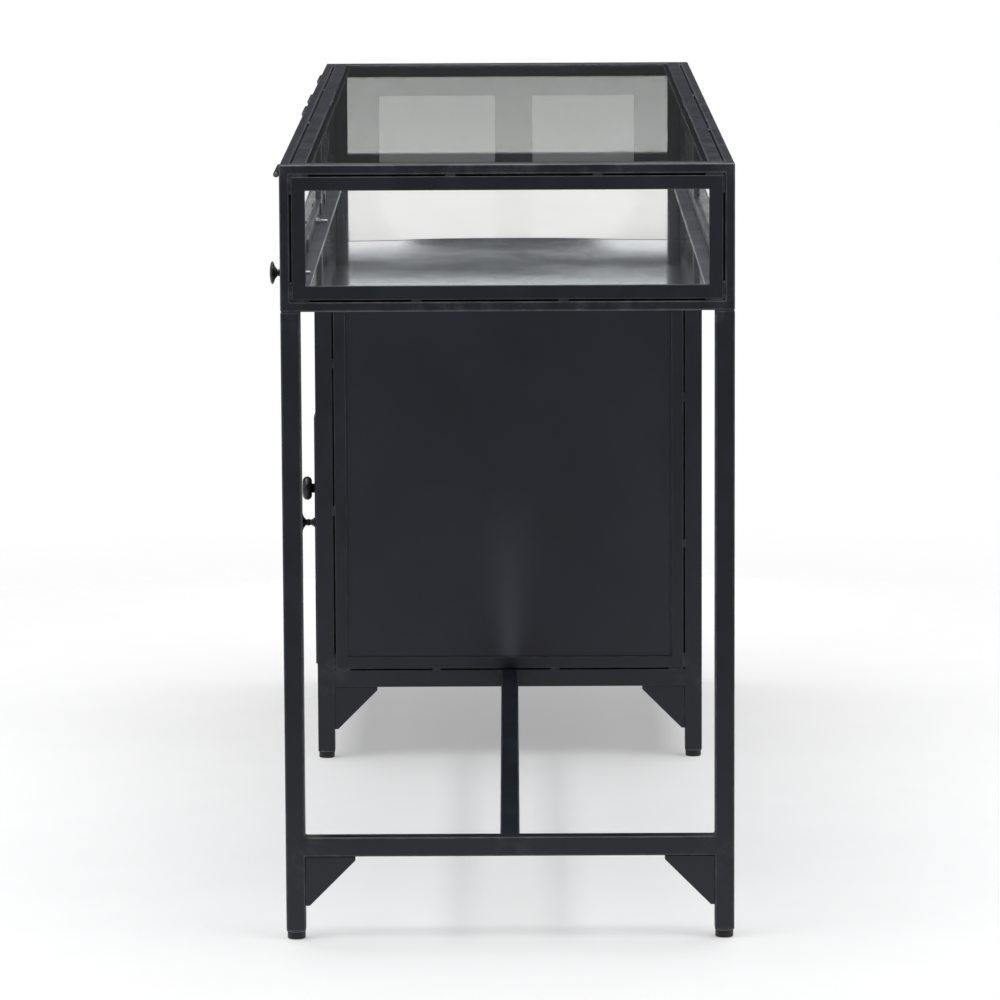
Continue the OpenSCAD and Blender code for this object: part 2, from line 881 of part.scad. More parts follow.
door_pull();
door_pull_stud();
latch_knob();
latch_cam();
drawer_box();
drawer_front();
drawer_slides();
drawer_knob();
drawer_knob_stud();
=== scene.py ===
import math

import bmesh
import bpy
from mathutils import Matrix, Vector, noise


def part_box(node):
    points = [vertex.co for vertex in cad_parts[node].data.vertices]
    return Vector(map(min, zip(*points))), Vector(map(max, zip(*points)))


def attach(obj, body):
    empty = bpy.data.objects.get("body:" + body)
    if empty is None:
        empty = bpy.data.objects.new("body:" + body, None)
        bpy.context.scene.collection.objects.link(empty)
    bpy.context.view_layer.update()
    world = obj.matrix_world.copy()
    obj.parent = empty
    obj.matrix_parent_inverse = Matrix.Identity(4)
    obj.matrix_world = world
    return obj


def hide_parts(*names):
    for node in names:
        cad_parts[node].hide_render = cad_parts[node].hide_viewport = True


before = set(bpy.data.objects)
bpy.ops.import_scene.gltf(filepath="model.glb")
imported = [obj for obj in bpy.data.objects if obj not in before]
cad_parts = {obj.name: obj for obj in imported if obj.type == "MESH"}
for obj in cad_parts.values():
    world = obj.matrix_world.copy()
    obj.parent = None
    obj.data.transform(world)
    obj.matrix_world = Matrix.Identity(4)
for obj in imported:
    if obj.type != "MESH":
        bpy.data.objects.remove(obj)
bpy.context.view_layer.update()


# ---------------------------------------------------------------- case bars
# The box of the case is 10 mm square iron bar, butt welded at the corners, filed flush and
# sprayed satin black. Two posts stand between the corners, over the edge of the pedestal.

IRON = (0.0120, 0.0133, 0.0212)
IRON_WORN = (0.085, 0.086, 0.100)
BAR_ROUND = 0.0018
SHARP = math.radians(30)
FLAT = math.radians(0.6)
WELD_LUMPS = 170.0
RELIEF = 0.0012
SAME_PLACE = 2e-6


def shader_group(name, inputs, outputs):
    """A node group with these sockets. Returns the tree, its input node and its output node."""
    tree = bpy.data.node_groups.new(name, "ShaderNodeTree")
    for label, kind, value in inputs:
        socket = tree.interface.new_socket(label, in_out="INPUT", socket_type=kind)
        socket.default_value = value
    for label, kind in outputs:
        tree.interface.new_socket(label, in_out="OUTPUT", socket_type=kind)
    return tree, tree.nodes.new("NodeGroupInput"), tree.nodes.new("NodeGroupOutput")


def add_node(tree, kind, links=(), **settings):
    """A node of this kind. links pairs an input with an output socket or a plain value."""
    made = tree.nodes.new("ShaderNode" + kind)
    for key, value in settings.items():
        setattr(made, key, value)
    for key, source in links:
        if isinstance(source, bpy.types.NodeSocket):
            tree.links.new(source, made.inputs[key])
        else:
            made.inputs[key].default_value = source
    return made


def map_range(tree, source, from_low, from_high, to_low, to_high, smooth=True):
    """The source's value, carried from one range to another."""
    made = add_node(tree, "MapRange", [(0, source)])
    made.interpolation_type = "SMOOTHSTEP" if smooth else "LINEAR"
    for i, value in enumerate((from_low, from_high, to_low, to_high)):
        made.inputs[i + 1].default_value = value
    return made.outputs[0]


def math_node(tree, operation, *terms, clamp=False):
    return add_node(tree, "Math", list(enumerate(terms)), operation=operation, use_clamp=clamp).outputs[0]


def blend_colours(tree, factor, first, second):
    """A colour that goes from the first to the second as factor goes from 0 to 1."""
    made = add_node(tree, "Mix", data_type="RGBA")
    for socket, source in ((made.inputs[0], factor), (made.inputs[6], first), (made.inputs[7], second)):
        if isinstance(source, bpy.types.NodeSocket):
            tree.links.new(source, socket)
        elif isinstance(source, (int, float)):
            socket.default_value = source
        else:
            socket.default_value = (*source, 1)
    return made.outputs[2]


def noise_node(tree, place, scale, detail, rough, distortion=0.0):
    """Cloudy noise at a place. A larger scale gives smaller clouds."""
    links = [("Vector", place), ("Scale", scale), ("Detail", detail)]
    links += [("Roughness", rough), ("Distortion", distortion)]
    return add_node(tree, "TexNoise", links)


def make_mottle():
    """Cloudy variation of a sprayed or rolled surface, with a fine grain for its bump."""
    tree, given, result = shader_group(
        "mottle",
        [("Scale", "NodeSocketFloat", 20.0), ("Grain", "NodeSocketFloat", 900.0)],
        [("Tone", "NodeSocketFloat"), ("Height", "NodeSocketFloat")],
    )
    place = add_node(tree, "TexCoord").outputs["Object"]
    cloud = noise_node(tree, place, given.outputs["Scale"], 6.0, 0.62)
    grain = noise_node(tree, place, given.outputs["Grain"], 3.0, 0.6)
    tone = map_range(tree, cloud.outputs[0], 0.3, 0.7, 0.0, 1.0)
    tree.links.new(tone, result.inputs["Tone"])
    height = math_node(tree, "MULTIPLY_ADD", grain.outputs[0], 0.35, cloud.outputs[0])
    tree.links.new(height, result.inputs["Height"])
    return tree


def make_wear_and_glow():
    """Paint rubbed thin along rounded edges and over ground welds, and a painted reflection on the near
    pedestal panel.
    """
    tree, given, result = shader_group(
        "wear",
        [
            ("Edge", "NodeSocketFloat", 0.6), ("Ground", "NodeSocketFloat", 0.6),
            ("Even", "NodeSocketFloat", 0.0), ("Scale", "NodeSocketFloat", 60.0),
        ],
        [("Mask", "NodeSocketFloat"), ("Height", "NodeSocketFloat")],
    )
    place = add_node(tree, "TexCoord").outputs["Object"]
    patch = noise_node(tree, place, given.outputs["Scale"], 5.0, 0.65)
    lumps = noise_node(tree, place, WELD_LUMPS, 2.0, 0.5, 0.8)
    edge = add_node(tree, "Attribute", attribute_name="edge").outputs["Fac"]
    ground = add_node(tree, "Attribute", attribute_name="ground").outputs["Fac"]
    rubbed = map_range(tree, patch.outputs[0], 0.35, 0.68, 0.25, 1.0)
    edge_share = math_node(tree, "MULTIPLY", edge, given.outputs["Edge"])
    on_edge = math_node(tree, "MULTIPLY", edge_share, rubbed)
    streaks = map_range(tree, patch.outputs[0], 0.42, 0.7, 0.0, 0.55)
    streaks = math_node(tree, "MAXIMUM", streaks, given.outputs["Even"])
    ground_share = math_node(tree, "MULTIPLY", ground, given.outputs["Ground"])
    on_weld_and_glow = math_node(tree, "MULTIPLY", ground_share, streaks)
    mask = math_node(tree, "ADD", on_edge, on_weld_and_glow, clamp=True)
    tree.links.new(mask, result.inputs["Mask"])
    tree.links.new(math_node(tree, "MULTIPLY", lumps.outputs[0], ground), result.inputs["Height"])
    return tree


MOTTLE, WEAR_AND_GLOW = make_mottle(), make_wear_and_glow()


def new_material(name):
    """A material with only an output and a Principled shader in it."""
    made = bpy.data.materials.new(name)
    made.use_nodes = True
    tree = made.node_tree
    tree.nodes.clear()
    shader = add_node(tree, "BsdfPrincipled")
    out = add_node(tree, "OutputMaterial", [("Surface", shader.outputs[0])])
    return made, tree, shader, out


def use_group(tree, group, **values):
    made = tree.nodes.new("ShaderNodeGroup")
    made.node_tree = group
    for key, value in values.items():
        made.inputs[key].default_value = value
    return made


def iron_paint(
    name, paint, worn_and_glow, rough=(0.28, 0.4), scale=14.0, grain=900.0, bump=0.06,
    edge=0.6, ground=0.8, even=0.0,
):
    """Satin black paint: cloudy, slightly rough, and thin along edges and over ground welds. Its ground
    mark also carries a painted reflection on the near pedestal panel.
    """
    made, tree, shader, _ = new_material(name)
    mottle = use_group(tree, MOTTLE, Scale=scale, Grain=grain)
    wear = use_group(tree, WEAR_AND_GLOW, Edge=edge, Ground=ground, Even=even)
    dark, light = [tuple(c * k for c in paint) for k in (0.78, 1.22)]
    cloudy = blend_colours(tree, mottle.outputs["Tone"], dark, light)
    colour = blend_colours(tree, wear.outputs["Mask"], cloudy, worn_and_glow)
    tree.links.new(colour, shader.inputs["Base Color"])
    satin = map_range(tree, mottle.outputs["Tone"], 0, 1, rough[0], rough[1], smooth=False)
    tree.links.new(satin, shader.inputs["Roughness"])
    shader.inputs["Specular IOR Level"].default_value = 0.42
    lumps = math_node(tree, "MULTIPLY_ADD", wear.outputs["Height"], 2.5, mottle.outputs["Height"])
    relief = add_node(tree, "Bump", [("Height", lumps), ("Strength", bump), ("Distance", RELIEF)])
    tree.links.new(relief.outputs[0], shader.inputs["Normal"])
    return made


iron = iron_paint("satin_black_iron", IRON, IRON_WORN)


def merge_flat(bm):
    """Joins a bmesh's loose triangles, and its flat regions into single faces."""
    bmesh.ops.remove_doubles(bm, verts=bm.verts, dist=SAME_PLACE)
    bmesh.ops.dissolve_limit(bm, angle_limit=FLAT, verts=bm.verts, edges=bm.edges)
    bmesh.ops.dissolve_verts(bm, verts=[v for v in bm.verts if len(v.link_edges) == 2])


def cad_copy(*nodes):
    """A bmesh of these CAD nodes, with their loose triangles merged."""
    bm = bmesh.new()
    for node in nodes:
        part = bmesh.new()
        part.from_mesh(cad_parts[node].data)
        merge_flat(part)
        mesh = bpy.data.meshes.new("merged")
        part.to_mesh(mesh)
        part.free()
        bm.from_mesh(mesh)
        bpy.data.meshes.remove(mesh)
    return bm


def add_block(bm, low, high):
    size = Vector(high) - Vector(low)
    place = Matrix.Translation((Vector(low) + Vector(high)) / 2) @ Matrix.Diagonal((*size, 1))
    return bmesh.ops.create_cube(bm, size=1, matrix=place)["verts"]


def welded(blocks):
    """A bmesh of overlapping blocks joined into one solid, as bars are once welded and filed flush."""
    spare = bpy.data.collections.new("blocks")
    bpy.context.scene.collection.children.link(spare)
    made = []
    for low, high in blocks:
        bm = bmesh.new()
        add_block(bm, low, high)
        mesh = bpy.data.meshes.new("block")
        bm.to_mesh(mesh)
        bm.free()
        made.append(bpy.data.objects.new("block", mesh))
    first, rest = made[0], made[1:]
    bpy.context.scene.collection.objects.link(first)
    for other in rest:
        spare.objects.link(other)
    join = first.modifiers.new("join", "BOOLEAN")
    join.operation, join.operand_type, join.solver = "UNION", "COLLECTION", "EXACT"
    join.collection = spare
    bpy.context.view_layer.update()
    joined = first.evaluated_get(bpy.context.evaluated_depsgraph_get())
    bm = bmesh.new()
    bm.from_mesh(joined.data)
    for other in made:
        bpy.data.objects.remove(other)
    bpy.data.collections.remove(spare)
    merge_flat(bm)
    return bm


def round_edges(bm, width, segments=3):
    """Rounds every sharp edge and marks the rounding, so that the paint can wear there."""
    mark = bm.faces.layers.float.new("edge")
    sharp = [e for e in bm.edges if len(e.link_faces) == 2 and e.calc_face_angle() > SHARP]
    made = bmesh.ops.bevel(
        bm, geom=sharp, offset=width, offset_type="OFFSET", affect="EDGES",
        segments=segments, profile=0.5, material=-1, clamp_overlap=True,
    )
    for face in made["faces"]:
        face[mark] = 1.0
        face.smooth = True


def cut_across(bm, axis, places):
    """Cuts a bmesh with planes across one axis, so that its surface can carry local marks."""
    normal = Vector([1.0 if i == axis else 0.0 for i in range(3)])
    for place in places:
        everything = bm.verts[:] + bm.edges[:] + bm.faces[:]
        bmesh.ops.bisect_plane(bm, geom=everything, plane_co=normal * place, plane_no=normal, dist=1e-6)


def mark_ground(bm, spots, reach):
    """Marks how near each point is to a weld that was ground, from 0 to 1."""
    mark = bm.verts.layers.float.new("ground")
    for vert in bm.verts:
        near = min((vert.co - spot).length for spot in spots)
        vert[mark] = max(0.0, 1.0 - near / reach) ** 0.7


def add_piece(bm, name, body, slot, finish, *replaced):
    """Turns a bmesh into a piece that rides on a body and stands for the CAD nodes it replaces."""
    mesh = bpy.data.meshes.new(name)
    bm.to_mesh(mesh)
    bm.free()
    mesh.materials.append(finish)
    piece = bpy.data.objects.new(name, mesh)
    bpy.context.scene.collection.objects.link(piece)
    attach(piece, body)
    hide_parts(*replaced)
    return piece


def rounded_copy(name, body, slot, finish, width, *nodes, segments=2):
    """A piece with the shape of CAD nodes and rounded edges."""
    bm = cad_copy(*nodes)
    round_edges(bm, width, segments)
    return add_piece(bm, name, body, slot, finish, *nodes)


box_low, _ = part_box("case_bottom_long_bars")
top_low, box_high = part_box("case_top_long_bars")
BAR = box_high.z - top_low.z
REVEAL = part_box("top_glazing_frame")[0].y - box_low.y - BAR
mid_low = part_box("short_flap_frame")[1].x + REVEAL
mid_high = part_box("long_flap_frame")[0].x - REVEAL
SPOT_SHARES = (0.29, 0.63)
SPOT_CUTS = (-0.012, -0.005, 0.005, 0.012)
GROUND_REACH = 0.026
GROUND_CUTS = (0.006, 0.012, 0.018, 0.026, 0.036)


def spans(low, high, width):
    """The two ranges of this width at the ends of a longer one."""
    return ((low, low + width), (high - width, high))


case_blocks = []
for z0, z1 in spans(box_low.z, box_high.z, BAR):
    for y0, y1 in spans(box_low.y, box_high.y, BAR):
        case_blocks.append(((box_low.x, y0, z0), (box_high.x, y1, z1)))
    for x0, x1 in spans(box_low.x, box_high.x, BAR):
        case_blocks.append(((x0, box_low.y, z0), (x1, box_high.y, z1)))
for y0, y1 in spans(box_low.y, box_high.y, BAR):
    for x0, x1 in (*spans(box_low.x, box_high.x, BAR), (mid_low, mid_high)):
        case_blocks.append(((x0, y0, box_low.z), (x1, y1, box_high.z)))

corner_spots = [
    Vector((x, y, z))
    for x in (box_low.x, mid_low, box_high.x)
    for y in (box_low.y, box_high.y)
    for z in (box_low.z, box_high.z)
]
side_spots = [
    Vector((x, box_high.y + (box_low.y - box_high.y) * share, z))
    for x in (box_low.x, box_high.x)
    for z in (box_low.z, box_high.z)
    for share in SPOT_SHARES
]
bm = welded(case_blocks)
round_edges(bm, BAR_ROUND, 4)
for cut in GROUND_CUTS:
    cut_across(bm, 0, (box_low.x + cut, box_high.x - cut))
    cut_across(bm, 1, (box_low.y + cut, box_high.y - cut))
    cut_across(bm, 2, (box_low.z + cut, box_high.z - cut))
for spot in side_spots:
    cut_across(bm, 1, [spot.y + cut for cut in SPOT_CUTS])
mark_ground(bm, corner_spots + side_spots, GROUND_REACH)
add_piece(
    bm, "case_bars", "root", "black_iron", iron,
    "case_top_long_bars", "case_bottom_long_bars", "case_end_bars", "case_posts",
)


# ---------------------------------------------------------------- glazing frames
# A mitred frame of rebated iron strip sits in each side of the case with a 2 mm slot all
# round it. The top one also has a ledge on which the top pane lies.

FRAME_ROUND = 0.0008
BEAD_ROUND = 0.0003

for name in ("end_glazing_frames", "back_glazing_frames", "top_glazing_frame"):
    rounded_copy("case_" + name, "root", "black_iron", iron, FRAME_ROUND, name)
rounded_copy("case_glazing_beads", "root", "black_iron", iron, BEAD_ROUND, "glazing_beads")


# ---------------------------------------------------------------- stitch welds
# Short runs of weld hold each frame in its slot: one each way from the corners and two spots
# on the long sides, filed almost level and painted over. Between them near-black strips sunk
# in the slot make it dark: painted shade.

WELD_SUNK = 0.00012
SHADE_STRIP_SUNK = 0.0045
SHADE_STRIP_THICK = 0.0005
WELD_DEPTH = 0.004
WELD_OVERLAP = 1.15
WELD_LUMP = 0.00045
WELD_END_DIP = 0.006
WELD_LUMPS_PER_M = 700
CORNER_WELD = 0.019
SPOT_WELD = 0.011
LONG_SIDE = 0.2
EVERYWHERE = 100.0

lumpy_iron = iron_paint(
    "black_iron_weld", IRON, IRON_WORN, rough=(0.3, 0.42), bump=0.25, edge=0.2, ground=1.0,
)
# Near-black, rough strips sunk in the slots make them dark: painted shade.
SLOT_SHADE, SLOT_SHADE_WORN = (0.002, 0.002, 0.0025), (0.01, 0.01, 0.01)
slot_shade_paint = iron_paint(
    "painted_shade_in_the_slots", SLOT_SHADE, SLOT_SHADE_WORN, rough=(0.8, 0.95), bump=0.3, edge=0.0, ground=0.0,
)


def add_weld(bm, start, end, outward):
    """A lumpy run of weld from start to end, its face a little below the surface."""
    along = (end - start).normalized()
    across = along.cross(outward)
    place = Matrix((along, across, outward)).transposed().to_4x4()
    place.translation = (start + end) / 2 - outward * (WELD_SUNK + WELD_DEPTH / 2)
    size = Matrix.Diagonal(((end - start).length, REVEAL * WELD_OVERLAP, WELD_DEPTH, 1))
    verts = bmesh.ops.create_cube(bm, size=1, matrix=place @ size)["verts"]
    edges = list({e for v in verts for e in v.link_edges})
    long_edges = [e for e in edges if abs((e.verts[1].co - e.verts[0].co).normalized().dot(along)) > 0.9]
    bmesh.ops.subdivide_edges(bm, edges=long_edges, cuts=8, use_grid_fill=True)
    cuts = list({e for v in bm.verts if v.is_valid and not v.tag for e in v.link_edges
                 if abs((e.verts[1].co - e.verts[0].co).normalized().dot(across)) > 0.9})
    bmesh.ops.subdivide_edges(bm, edges=cuts, cuts=3, use_grid_fill=True)
    centre = (start + end) / 2
    half = (end - start).length / 2
    for vert in bm.verts:
        if vert.tag:
            continue
        vert.tag = True
        if (vert.co - centre).dot(outward) > -WELD_DEPTH / 2:
            share = abs((vert.co - centre).dot(along)) / half
            lump = 0.5 + 0.5 * noise.noise(vert.co * WELD_LUMPS_PER_M)
            vert.co -= outward * (WELD_LUMP * lump + WELD_END_DIP * max(0.0, share - 0.8))


def frame_sides(low, high, axis, outward):
    """The four slot lines round a frame whose box is low to high, as pairs of corners."""
    a, b = [i for i in range(3) if i != axis]
    level = high[axis] if outward > 0 else low[axis]
    half = REVEAL / 2

    def corner(p, q):
        place = Vector((0, 0, 0))
        place[axis], place[a], place[b] = level, p, q
        return place

    a0, a1, b0, b1 = low[a] - half, high[a] + half, low[b] - half, high[b] + half
    return [
        (corner(a0, b0), corner(a1, b0)), (corner(a1, b0), corner(a1, b1)),
        (corner(a1, b1), corner(a0, b1)), (corner(a0, b1), corner(a0, b0)),
    ]


def weld_frame(bm, slot_shade, low, high, axis, outward):
    """Adds the welds, and the near-black strips of painted shade in the slot, round one frame."""
    normal = Vector([float(outward) if i == axis else 0.0 for i in range(3)])
    for start, end in frame_sides(low, high, axis, outward):
        grow = Vector([REVEAL * 0.49] * 3)
        grow[axis] = SHADE_STRIP_THICK
        sunk = normal * SHADE_STRIP_SUNK
        corners = [Vector(map(pick, start, end)) for pick in (min, max)]
        add_block(slot_shade, corners[0] - grow - sunk, corners[1] + grow - sunk)
        along = (end - start).normalized()
        length = (end - start).length
        add_weld(bm, start, start + along * CORNER_WELD, normal)
        add_weld(bm, end - along * CORNER_WELD, end, normal)
        if length > LONG_SIDE:
            for share in SPOT_SHARES:
                middle = start + along * length * share
                half = along * SPOT_WELD / 2
                add_weld(bm, middle - half, middle + half, normal)


ends_low, ends_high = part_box("end_glazing_frames")
backs_low, backs_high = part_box("back_glazing_frames")
lid_low, lid_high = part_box("top_glazing_frame")
panels_low, panels_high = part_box("panel_frames")
post_low, post_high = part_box("pedestal_posts")
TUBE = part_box("near_low_rail")[1].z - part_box("near_low_rail")[0].z
bm, slot_shade = bmesh.new(), bmesh.new()
for outward in (-1, 1):
    weld_frame(bm, slot_shade, ends_low, ends_high, 0, outward)
weld_frame(bm, slot_shade, Vector((mid_high + REVEAL, backs_low.y, backs_low.z)), backs_high, 1, 1)
weld_frame(bm, slot_shade, backs_low, Vector((mid_low - REVEAL, backs_high.y, backs_high.z)), 1, 1)
weld_frame(bm, slot_shade, lid_low, lid_high, 2, 1)
side_low = Vector((panels_low.x, post_low.y + TUBE + REVEAL, panels_low.z))
side_high = Vector((post_high.x, post_high.y - TUBE - REVEAL, panels_high.z))
for outward in (-1, 1):
    weld_frame(bm, slot_shade, side_low, side_high, 0, outward)
rear_low = Vector((post_low.x + TUBE + REVEAL, panels_low.y, panels_low.z))
rear_high = Vector((post_high.x - TUBE - REVEAL, panels_high.y, panels_high.z))
weld_frame(bm, slot_shade, rear_low, rear_high, 1, 1)
for face in bm.faces:
    face.smooth = True
mark_ground(bm, [Vector((0, 0, 0))], EVERYWHERE)
add_piece(bm, "stitch_weld_beads", "root", "black_iron", lumpy_iron, "stitch_welds")
add_piece(slot_shade, "slot_painted_shade_strips", "root", "black_iron", slot_shade_paint)


# ---------------------------------------------------------------- glass
# Clear float glass: 4 mm panes in the sides and flaps, and a 9.5 mm pane with arrised edges
# for the top. It is laid in its frame on a thin bed of clear silicone.


def make_smudge():
    """Faint wiped streaks on glass, from 0 on clean glass to 1."""
    tree, given, result = shader_group(
        "smudge", [("Scale", "NodeSocketFloat", 5.0)], [("Mask", "NodeSocketFloat")]
    )
    place = add_node(tree, "TexCoord").outputs["Object"]
    wiped = noise_node(tree, place, given.outputs["Scale"], 4.0, 0.5, 1.2)
    tree.links.new(map_range(tree, wiped.outputs[0], 0.55, 0.8, 0.0, 1.0), result.inputs["Mask"])
    return tree


SMUDGE = make_smudge()


def glass(name, tint):
    """Clear glass with faint smears. Shadows pass through it, so that what is inside is lit."""
    made, tree, shader, out = new_material(name)
    smudge = use_group(tree, SMUDGE, Scale=6.0)
    tree.links.new(map_range(tree, smudge.outputs[0], 0, 1, 0.0, 0.035), shader.inputs["Roughness"])
    dusty = tuple(c * 0.97 for c in tint)
    tree.links.new(blend_colours(tree, smudge.outputs[0], tint, dusty), shader.inputs["Base Color"])
    shader.inputs["Transmission Weight"].default_value = 1.0
    shader.inputs["IOR"].default_value = 1.5
    clear = add_node(tree, "BsdfTransparent", [("Color", (*tint, 1))])
    shadow = add_node(tree, "LightPath").outputs["Is Shadow Ray"]
    mixed = add_node(tree, "MixShader", [(0, shadow), (1, shader.outputs[0]), (2, clear.outputs[0])])
    tree.links.new(mixed.outputs[0], out.inputs["Surface"])
    return made


side_glass = glass("float_glass", (0.975, 0.985, 0.982))
thick_glass = glass("thick_float_glass", (0.93, 0.98, 0.965))
GLASS_ROUND, ARRIS = 0.0003, 0.0008

for name in ("end_glass", "back_glass"):
    rounded_copy("case_" + name, "root", "clear_glass", side_glass, GLASS_ROUND, name)
rounded_copy("top_pane", "root", "top_glass", thick_glass, ARRIS, "top_glass", segments=3)


# ---------------------------------------------------------------- case floor
# Two bright rolled steel sheets, the near one bluer, lie on iron bearers. They bow up where
# they meet, their long edges are folded up, and the far one is a little higher at the seam.

STEEL = (0.59, 0.635, 0.67)
BLUE_STEEL = (0.50, 0.61, 0.72)
WAVE = 0.00012
BUCKLE = 0.0024
RISE = 0.0005
BUCKLE_Y, BUCKLE_WIDE = 0.008, 0.115
BUCKLE_NEAR, BUCKLE_FAR = 0.085, 0.3
RISE_LONG = 0.18
SHEET_THICK = 0.0011
CELL = 0.012
HEM_WIDE, HEM_ROUND = 0.0011, 0.0005
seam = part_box("floor_sheet_near")[0].x
HEM_BRIGHT = (0.42, 0.43, 0.45)
ROLLING_RELIEF = 0.0004
LAP = 0.0003


def rolled_steel(name, colour, rough, streak_axis, streaks=0.25, bump=0.03):
    """Bright steel with long faint rolling streaks."""
    made, tree, shader, _ = new_material(name)
    place = add_node(tree, "TexCoord").outputs["Object"]
    stretch = [40.0, 40.0, 40.0]
    stretch[streak_axis] = 2.0
    drawn = add_node(tree, "Mapping", [("Vector", place), ("Scale", stretch)])
    streak = noise_node(tree, drawn.outputs[0], 6.0, 6.0, 0.7)
    mottle = use_group(tree, MOTTLE, Scale=7.0, Grain=1400.0)
    mixed = math_node(tree, "MULTIPLY_ADD", streak.outputs[0], streaks, mottle.outputs["Tone"])
    dark = tuple(c * 0.86 for c in colour)
    tree.links.new(blend_colours(tree, mixed, dark, colour), shader.inputs["Base Color"])
    satin = map_range(tree, mixed, 0, 1.2, rough[0], rough[1], smooth=False)
    tree.links.new(satin, shader.inputs["Roughness"])
    links = [("Height", streak.outputs[0]), ("Strength", bump), ("Distance", ROLLING_RELIEF)]
    relief = add_node(tree, "Bump", links)
    tree.links.new(relief.outputs[0], shader.inputs["Normal"])
    shader.inputs["Metallic"].default_value = 1.0
    return made


far_steel = rolled_steel("bright_rolled_sheet", STEEL, (0.055, 0.09), 0, bump=0.01)
near_steel = rolled_steel("blue_rolled_sheet", BLUE_STEEL, (0.055, 0.09), 0, bump=0.01)
hem_steel = rolled_steel("folded_sheet_edge", HEM_BRIGHT, (0.3, 0.4), 0, bump=0.0)


def sheet_wave(x, y):
    """Height of the sheet's gentle buckle at a place on the floor."""
    broad = noise.noise(Vector((x * 2.3, y * 3.1, 4.7)))
    across = math.exp(-abs((y - BUCKLE_Y) / BUCKLE_WIDE) ** 4)
    along = math.exp((seam - x) / BUCKLE_NEAR) if x > seam else math.exp(-(((x - seam) / BUCKLE_FAR) ** 2))
    past = max(0.0, x - seam) / RISE_LONG
    return WAVE * broad + BUCKLE * across * along + RISE * past * math.exp(1 - past)


def floor_sheet(name, body_node, lap, finish):
    low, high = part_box(body_node)
    top = low.z + SHEET_THICK + lap
    bm = bmesh.new()
    cols = round((high.x - low.x) / CELL)
    rows = round((high.y - low.y) / CELL)
    size = Matrix.Translation(((low.x + high.x) / 2, (low.y + high.y) / 2, top))
    size = size @ Matrix.Diagonal((high.x - low.x, high.y - low.y, 1, 1))
    bmesh.ops.create_grid(bm, x_segments=cols, y_segments=rows, size=0.5, matrix=size)
    for vert in bm.verts:
        vert.co.z += sheet_wave(vert.co.x, vert.co.y)
    for face in bm.faces:
        face.smooth = True
    bmesh.ops.solidify(bm, geom=bm.faces[:], thickness=-SHEET_THICK * 0.7)
    for edge in bm.edges:
        edge.smooth = edge.calc_face_angle(0.0) < SHARP
    add_piece(bm, name, "root", "floor_steel", finish, body_node)
    hems = bmesh.new()
    for y0, y1 in spans(low.y, high.y, HEM_WIDE):
        add_block(hems, (low.x, y0, low.z), (high.x, y1, high.z))
    round_edges(hems, HEM_ROUND, 3)
    add_piece(hems, name + "_hems", "root", "floor_steel", hem_steel)


floor_sheet("near_floor_sheet", "floor_sheet_near", 0.0, near_steel)
floor_sheet("far_floor_sheet", "floor_sheet_far", LAP, far_steel)

dull_iron = iron_paint(
    "dull_black_iron", (0.011, 0.011, 0.013), IRON_WORN, rough=(0.5, 0.68), edge=0.25, ground=0.0,
)
BEARER_ROUND, STRIP_ROUND, STOP_ROUND = 0.0008, 0.0005, 0.0004
rounded_copy("case_floor_bearers", "root", "black_iron", dull_iron, BEARER_ROUND, "floor_bearers")
rounded_copy("case_side_strips", "root", "black_iron", iron, STRIP_ROUND, "floor_side_strips")
rounded_copy("case_flap_stops", "root", "black_iron", iron, STOP_ROUND, "flap_stops")


# ---------------------------------------------------------------- flap hinges
# Steel butt hinges along the top edge of the front, two to a flap. Their leaves are painted
# with the case and their headed pins are bare zinc plate.

bare_steel = rolled_steel("zinc_plated_steel", (0.30, 0.30, 0.31), (0.28, 0.4), 1, streaks=0.3, bump=0.06)

LEAF_ROUND, PIN_ROUND = 0.0002, 0.0003
rounded_copy("case_hinge_leaves", "root", "black_iron", iron, LEAF_ROUND, "flap_hinge_fixed_leaves")
rounded_copy("case_hinge_pins", "root", "bare_steel", bare_steel, PIN_ROUND, "flap_hinge_pins")


# ---------------------------------------------------------------- flaps
# Two glazed flaps close the front of the case. Each is a rebated iron frame with its pane
# beaded in, and small turned knobs held by a stud, a washer and a nut from behind.

KNOB_BLACK, KNOB_WORN = (0.014, 0.013, 0.014), (0.09, 0.085, 0.085)
knob_black = iron_paint(
    "black_turned_knob", KNOB_BLACK, KNOB_WORN, rough=(0.22, 0.34), scale=60.0, bump=0.05,
    edge=0.4, ground=0.0,
)

KNOB_STEPS = 48
THREAD_ROUND = 0.00025


def add_turned(bm, outline, place):
    """Spins an outline of (radius, height) points round the local Z axis, closed at both ends."""
    verts = [bm.verts.new(place @ Vector((r, 0, h))) for r, h in outline]
    edges = [bm.edges.new(pair) for pair in zip(verts, verts[1:])]
    axis = (place.to_3x3() @ Vector((0, 0, 1))).normalized()
    bmesh.ops.spin(
        bm, geom=verts + edges, cent=place.translation, axis=axis,
        angle=math.tau, steps=KNOB_STEPS, use_merge=True,
    )


def arc(centre, radius, start, end, steps):
    """Points along an arc, in degrees, as (radius, height)."""
    turns = [math.radians(start + (end - start) * i / steps) for i in range(steps + 1)]
    return [(centre[0] + radius * math.cos(t), centre[1] + radius * math.sin(t)) for t in turns]


def finish_turned(bm):
    bmesh.ops.remove_doubles(bm, verts=bm.verts, dist=1e-6)
    bmesh.ops.recalc_face_normals(bm, faces=bm.faces)
    mark = bm.faces.layers.float.new("edge")
    for face in bm.faces:
        face.smooth = True
        face[mark] = 0.0


